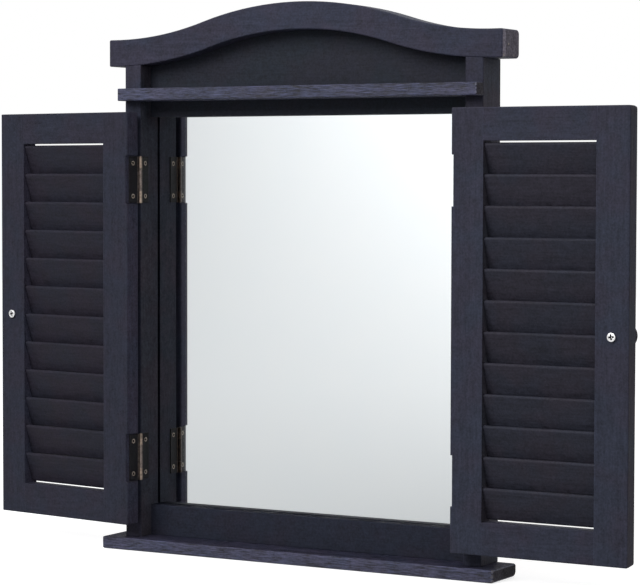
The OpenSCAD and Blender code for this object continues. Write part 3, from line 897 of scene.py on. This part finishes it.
def moved(tree, geometry, at, girth, z):
    # every point drawn in by its girth, and put at a height
    place = joined(tree, times(tree, at[0], girth), times(tree, at[1], girth), z)
    return add(tree, "GeometryNodeSetPosition", {"Geometry": geometry, "Position": place}).outputs[0]


headShape = {
    "armSide": (0.75, 1.3),  # between which the cross ends: sidewards, in half slot widths
    "armEnd": (0.85, 1.08),  # and along an arm, as shares of its reach
    "sinkEnd": 1.15,  # the cross gets shallower outwards, to nothing at this many head radii
}


def screwHead(tree, given, at):
    # a short drum, its rim narrowed below to the shank, its top domed and crossed
    radius, depth = given["headRadius"], given["headDepth"]
    upper = sums(tree, "GREATER_THAN", at[2], 0.0)
    squares = plus(tree, times(tree, at[0], at[0]), times(tree, at[1], at[1]))
    away = ratio(tree, sums(tree, "SQRT", squares), radius)
    across, along = (ratio(tree, sums(tree, "ABSOLUTE", at[i]), radius) for i in (0, 1))
    nearest = ratio(tree, sums(tree, "MINIMUM", across, along), times(tree, given["slotWidth"], 0.5))
    outwards = ratio(tree, away, given["slotReach"])
    crossed = times(tree, ramp(tree, nearest, *headShape["armSide"], 1.0, 0.0),
                    ramp(tree, outwards, *headShape["armEnd"], 1.0, 0.0))
    dome = times(tree, minus(tree, 1.0, times(tree, away, away)), times(tree, given["rise"], radius))
    sunk = times(tree, times(tree, crossed, given["slotDepth"]),
                 times(tree, radius, minus(tree, headShape["sinkEnd"], away)))
    z = blend(tree, upper, times(tree, depth, -1.0), minus(tree, dome, sunk))
    foot = sums(tree, "MAXIMUM", given["foot"], ratio(tree, given["shankRadius"], radius))
    blank = drum(tree, given["around"], 1, given["rings"], radius, depth)
    marks = {"Geometry": blank, "Name": "recess", "Value": times(tree, crossed, upper)}
    marked = add(tree, "GeometryNodeStoreNamedAttribute", marks, data_type="FLOAT", domain="POINT").outputs[0]
    return moved(tree, marked, at, blend(tree, upper, foot, 1.0), z)


shankShape = {
    "around": 14,
    "rings": 24,  # every other one is a ridge of the thread
    "threadDepth": 0.22,
    "threaded": 0.7,  # share of the shank, from its point
    "point": (0.0, 0.16, 0.2, 1.0),  # from and to where it widens, and from and to which width
    "seat": 0.98,  # how deep in the head it starts, as a share of the head's depth
    "widest": 0.6,  # as a share of the head's radius
}


def screwShank(tree, given, at):
    # a rod that narrows to a point, its rings drawn in and out as a thread
    long = minus(tree, given["length"], given["headDepth"])
    down = plus(tree, ratio(tree, at[2], long), 0.5)  # 0 at the point, 1 under the head
    ridge = sums(tree, "PINGPONG", times(tree, down, float(shankShape["rings"])), 1.0)
    grooved = times(tree, times(tree, ridge, shankShape["threadDepth"]),
                    sums(tree, "LESS_THAN", down, shankShape["threaded"]))
    girth = times(tree, ramp(tree, down, *shankShape["point"]), minus(tree, 1.0, grooved))
    drop = plus(tree, times(tree, long, 0.5), times(tree, given["headDepth"], shankShape["seat"]))
    blank = drum(tree, shankShape["around"], shankShape["rings"], 1, given["shankRadius"], long)
    return moved(tree, blank, at, girth, minus(tree, at[2], drop))


screwInputs = {
    "Geometry": ["Geometry"],
    "Float": ["headRadius", "headDepth", "shankRadius", "length", "slotWidth", "slotReach", "slotDepth",
              "rise", "foot", "turn", "spread"],
    "Int": ["around", "rings", "seed"],
    "Material": ["finish"],
}


def screwTree(name):
    tree = bpy.data.node_groups.new(name, "GeometryNodeTree")
    for kind, labels in screwInputs.items():
        for label in labels:
            tree.interface.new_socket(label, in_out="INPUT", socket_type="NodeSocket" + kind)
    tree.interface.new_socket("Geometry", in_out="OUTPUT", socket_type="NodeSocketGeometry")
    given = add(tree, "NodeGroupInput").outputs
    at = split(tree, add(tree, "GeometryNodeInputPosition").outputs[0])
    screw = add(tree, "GeometryNodeJoinGeometry")
    for half in (screwShank(tree, given, at), screwHead(tree, given, at)):
        tree.links.new(half, screw.inputs[0])

    # one on each point, turned along its facing and then by chance about its own axis
    facing = add(tree, "GeometryNodeInputNamedAttribute", {"Name": "facing"}, data_type="FLOAT_VECTOR")
    upright = add(tree, "FunctionNodeAlignRotationToVector", {"Vector": facing.outputs[0]}, axis="Z")
    limits = {2: 0.0, 3: given["spread"], "Seed": given["seed"]}  # 2 and 3 are a number's least and most
    chance = add(tree, "FunctionNodeRandomValue", limits, data_type="FLOAT").outputs[1]
    angle = {"Axis": (0, 0, 1), "Angle": plus(tree, chance, given["turn"])}
    spin = add(tree, "FunctionNodeAxisAngleToRotation", angle).outputs[0]
    both = {"Rotation": upright.outputs[0], "Rotate By": spin}
    rotation = add(tree, "FunctionNodeRotateRotation", both, rotation_space="LOCAL").outputs[0]
    where = {"Points": given["Geometry"], "Instance": screw.outputs[0], "Rotation": rotation}
    placed = add(tree, "GeometryNodeInstanceOnPoints", where).outputs[0]
    real = add(tree, "GeometryNodeRealizeInstances", {"Geometry": placed}).outputs[0]
    dressed = add(tree, "GeometryNodeSetMaterial", {"Geometry": real, "Material": given["finish"]}).outputs[0]
    tree.links.new(dressed, add(tree, "NodeGroupOutput").inputs[0])
    return tree


def buildScrews(node, finish, seed, form):
    spots = screwSpots(nodes[node].data)
    first = spots[0]
    head = form["wide"] * first["head"]
    raised = form["foot"] * form["rise"] * head  # a pan head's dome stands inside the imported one's height
    for spot in spots:
        spot["place"] = spot["place"] - spot["facing"] * raised
        spot["length"] -= raised
    points = bpy.data.meshes.new(node + "Points")
    points.from_pydata([tuple(spot["place"]) for spot in spots], [], [])
    facing = points.attributes.new("facing", "FLOAT_VECTOR", "POINT")
    facing.data.foreach_set("vector", np.array([spot["facing"] for spot in spots], np.float32).ravel())
    piece = newObject(node + "Crossed", points)
    modifier = piece.modifiers.new("screws", "NODES")
    modifier.node_group = screws
    sizes = {"headRadius": head, "headDepth": head * form["depth"], "shankRadius": first["shank"],
             "length": first["length"], "finish": finishes[finish], "seed": seed, **form}
    for item in screws.interface.items_tree:
        if item.in_out == "INPUT" and item.name in sizes:
            modifier[item.identifier] = sizes[item.name]
    plainMesh(piece, node + "Crossed")
    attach(piece, bodyOf[node])
    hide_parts(node)
    print(node, len(spots), "screws, head", round(head * 1000, 2), "shank", round(first["shank"] * 1000, 2),
          "length", round(first["length"] * 1000, 2))


screws = screwTree("screws")
screwRows = [
    ("frame_leaf_screws", "screwBrass", 5, leafForm),
    ("left_shutter_leaf_screws", "screwBrass", 8, leafForm),
    ("right_shutter_leaf_screws", "screwBrass", 11, leafForm),
    ("sill_screws", "zinc", 14, screwForm),
    ("ledge_screws", "zinc", 17, screwForm),
    ("back_panel_screws", "zinc", 20, screwForm),
    ("hanger_screws", "zinc", 23, screwForm),
    ("left_knob_screw", "whiteZinc", 26, panForm),
    ("right_knob_screw", "whiteZinc", 29, panForm),
]
for row in screwRows:
    buildScrews(*row)
print("screws made")


# The looking glass: a clear pane whose back face is the silver.

glassForm = {
    "bevel": 0.0006,
    "bevelSteps": 2,
    "clear": 0.0001,  # space between the silver and the back panel
}


def buildLookingGlass(form):
    low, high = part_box("mirror_glass")
    high.y -= form["clear"]
    work = bmesh.new()
    bmesh.ops.create_cube(work, size=1.0)
    for vert in work.verts:
        vert.co = [low[i] if vert.co[i] < 0 else high[i] for i in range(3)]
    bmesh.ops.bevel(work, geom=work.edges[:], offset=form["bevel"], segments=form["bevelSteps"],
                    affect="EDGES", profile=0.5)
    work.normal_update()
    for face in work.faces:
        face.material_index = 1 if face.normal.y > 0.9 else 0  # the silver is on the flat back alone
    mesh = closeMesh(work, "lookingGlass")
    mesh.materials.append(finishes["clearGlass"])
    mesh.materials.append(finishes["silver"])
    pane = newObject("lookingGlass", mesh)
    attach(pane, "frame")
    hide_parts("mirror_glass")


buildLookingGlass(glassForm)
print("looking glass made")


# Studio: a pale floor, a broad key light from the front left, a faint one from the right, and a world
# whose light is plain, but which shows itself shaded in metal and glass.

studio = {
    "floorZ": cadBox[0][2] - 0.0004,  # just under the sill
    "floorHalf": 5.0,
    "floorTones": ((203, 203, 204), (208, 208, 208)),
    "floorCloud": 3.0,
    "floorRough": 0.9,
    "floorGlow": 0.69,
    "below": 0.26,  # plain light from below, from above, and what is added from behind
    "above": 0.46,
    "behind": 0.75,
    "levels": (-0.5, 0.7),  # the heights between which it changes; a height is the sine of its angle
    "shine": 1.165,  # how much brighter the world is in metal and glass, against the silver's losses
    "shown": (0.73, 0.5),  # what they show at eye level, and how fast it grows upwards
    "leftFade": (0.54, 3.7, 28.0),  # how far left it starts to fade, how fast, and how much faster upwards
    "lowFade": (-0.085, 1.1),  # where it starts to fade downwards, and how fast
    "floorShown": (-0.35, -0.2, 0.9, 0.55),  # the pale floor, straight below: heights and brightness
    "whitest": 1.05,
    "aim": (0.0, 0.0, -0.2),  # where the lights look
}
# azimuth is in degrees to the right of straight ahead, height in degrees, share the brightness that
# the light gives a white face turned to it; shows says whether metal and glass show it
keyLight = {"azimuth": -18, "height": 36, "distance": 2.6, "size": 1.6, "share": 0.86, "shows": True}
sideLight = {"azimuth": 52, "height": 26, "distance": 2.6, "size": 1.4, "share": 0.10, "shows": False}


def rays(tree):
    # whether a ray is the camera's own, and whether it comes off metal or through glass
    path = add(tree, "ShaderNodeLightPath").outputs
    return path["Is Camera Ray"], sums(tree, "MAXIMUM", path["Is Glossy Ray"], path["Is Transmission Ray"])


def buildFloor(form):
    half, z = form["floorHalf"], form["floorZ"]
    corners = [(-half, -half, z), (half, -half, z), (half, half, z), (-half, half, z)]
    mesh = bpy.data.meshes.new("floor")
    mesh.from_pydata(corners, [], [(0, 1, 2, 3)])
    floor = newObject("floor", mesh)
    material, tree, shader = startMaterial("paleFloor")
    low, high = form["floorTones"]
    glow = times(tree, sums(tree, "MAXIMUM", *rays(tree)), form["floorGlow"])
    feed(tree, shader, {
        "Base Color": mixed(tree, noise(tree, coordinate(tree), form["floorCloud"]), rgb(*low), rgb(*high)),
        "Roughness": form["floorRough"],
        "Specular IOR Level": 0.0,
        "Emission Color": (1, 1, 1, 1),
        "Emission Strength": glow,
    })
    mesh.materials.append(material)
    floor.visible_diffuse = False  # the world's light from below stands for its bounce
    floor.visible_glossy = False
    floor.visible_transmission = False


def buildWorld(form):
    world = bpy.data.worlds.new("studio")
    world.use_nodes = True
    scene.world = world
    tree = world.node_tree
    tree.nodes.clear()
    x, y, z = split(tree, coordinate(tree, "Generated"))

    # what metal and glass show: white, fading softly to the left and downwards
    edge, slope, steeper = form["leftFade"]
    level, growth = form["shown"]
    start, fall = form["lowFade"]
    fade = times(tree, plus(tree, x, edge), plus(tree, slope, times(tree, z, steeper)))
    fade = plus(tree, plus(tree, times(tree, z, growth), level), fade)
    fade = minus(tree, fade, times(tree, sums(tree, "MAXIMUM", minus(tree, start, z), 0.0), fall))
    fade = sums(tree, "MAXIMUM", fade, ramp(tree, z, *form["floorShown"]))
    shown = times(tree, sums(tree, "MINIMUM", fade, form["whitest"]), form["shine"])

    # what lights the part; the camera itself sees white
    lit = ramp(tree, z, *form["levels"], form["below"], form["above"])
    lit = plus(tree, lit, times(tree, sums(tree, "MAXIMUM", y, 0.0), form["behind"]))
    fromCamera, offMetal = rays(tree)
    strength = blend(tree, fromCamera, blend(tree, offMetal, lit, shown), 1.0)
    back = add(tree, "ShaderNodeBackground", {"Color": (1, 1, 1, 1), "Strength": strength})
    tree.links.new(back.outputs[0], add(tree, "ShaderNodeOutputWorld").inputs["Surface"])


def buildLight(name, form, aim):
    azimuth, height = math.radians(form["azimuth"]), math.radians(form["height"])
    level = Vector((math.sin(azimuth), -math.cos(azimuth), 0.0))
    toward = level * math.cos(height) + Vector((0.0, 0.0, math.sin(height)))
    data = bpy.data.lights.new(name, "AREA")
    data.shape = "SQUARE"
    data.size = form["size"]
    data.energy = form["share"] * math.pi ** 2 * form["distance"] ** 2
    lamp = newObject(name, data)
    lamp.location = Vector(aim) + toward * form["distance"]
    lamp.rotation_euler = toward.to_track_quat("Z", "Y").to_euler()
    lamp.visible_glossy = form["shows"]


buildFloor(studio)
buildWorld(studio)
buildLight("key", keyLight, studio["aim"])
buildLight("side", sideLight, studio["aim"])
scene.view_settings.view_transform = "Standard"
print("studio lit")
